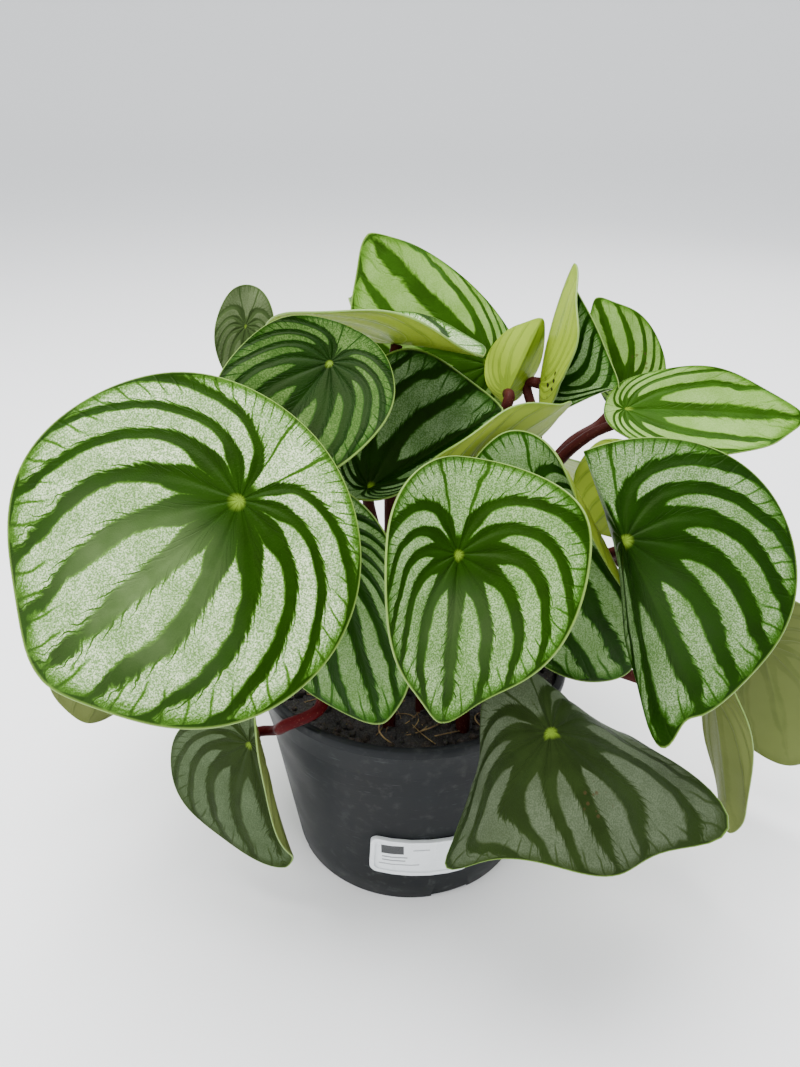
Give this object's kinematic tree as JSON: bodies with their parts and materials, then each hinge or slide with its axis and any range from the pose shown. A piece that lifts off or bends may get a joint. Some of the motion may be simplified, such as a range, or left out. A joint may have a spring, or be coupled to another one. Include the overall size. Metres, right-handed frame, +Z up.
{
  "type": "potted peperomia",
  "caption": "Bushy watermelon peperomia in a round nursery pot: striped, round, pointed leaf blades held by red stalks that stand in the soil, with a blank label on the pot.",
  "frame": {"origin": "centre of the pot's foot, on the surface that the pot stands on", "axes": "+Z up along the pot's axis, -Y towards the front of the picture, +X to its right"},
  "size_m": [0.3046, 0.227, 0.2304],
  "materials": {
    "pot": "matte dark grey moulded plastic",
    "soil": null,
    "label": "satin white film",
    "blade": null,
    "stalk": null
  },
  "bodies": {
    "root": {"pot": "pot", "soil": "soil", "label": "label", "blade_front_left": "blade", "blade_front_centre": "blade", "blade_front_right": "blade", "blade_low_front": "blade", "blade_between_front": "blade", "blade_low_left": "blade", "blade_back_left_small": "blade", "blade_upper_left": "blade", "blade_upper_flat": "blade", "blade_top_back": "blade", "blade_middle": "blade", "blade_middle_edge": "blade", "blade_behind_centre": "blade", "blade_young_cupped": "blade", "blade_upright_folded": "blade", "blade_right_back": "blade", "blade_right_flat": "blade", "blade_right_inner": "blade", "blade_low_right": "blade", "blade_low_right_front": "blade", "blade_low_left_back": "blade", "blade_left_side": "blade", "blade_back_left": "blade", "blade_back_centre": "blade", "blade_back_low_left": "blade", "blade_back_right": "blade", "blade_back_low_right": "blade", "blade_back_top": "blade", "stalk_front_left": "stalk", "stalk_front_centre": "stalk", "stalk_front_right": "stalk", "stalk_low_front": "stalk", "stalk_between_front": "stalk", "stalk_low_left": "stalk", "stalk_back_left_small": "stalk", "stalk_upper_left": "stalk", "stalk_upper_flat": "stalk", "stalk_top_back": "stalk", "stalk_middle": "stalk", "stalk_middle_edge": "stalk", "stalk_behind_centre": "stalk", "stalk_young_cupped": "stalk", "stalk_upright_folded": "stalk", "stalk_right_back": "stalk", "stalk_right_flat": "stalk", "stalk_right_inner": "stalk", "stalk_low_right": "stalk", "stalk_low_right_front": "stalk", "stalk_low_left_back": "stalk", "stalk_left_side": "stalk", "stalk_back_left": "stalk", "stalk_back_centre": "stalk", "stalk_back_low_left": "stalk", "stalk_back_right": "stalk", "stalk_back_low_right": "stalk", "stalk_back_top": "stalk"}
  },
  "joints": []
}
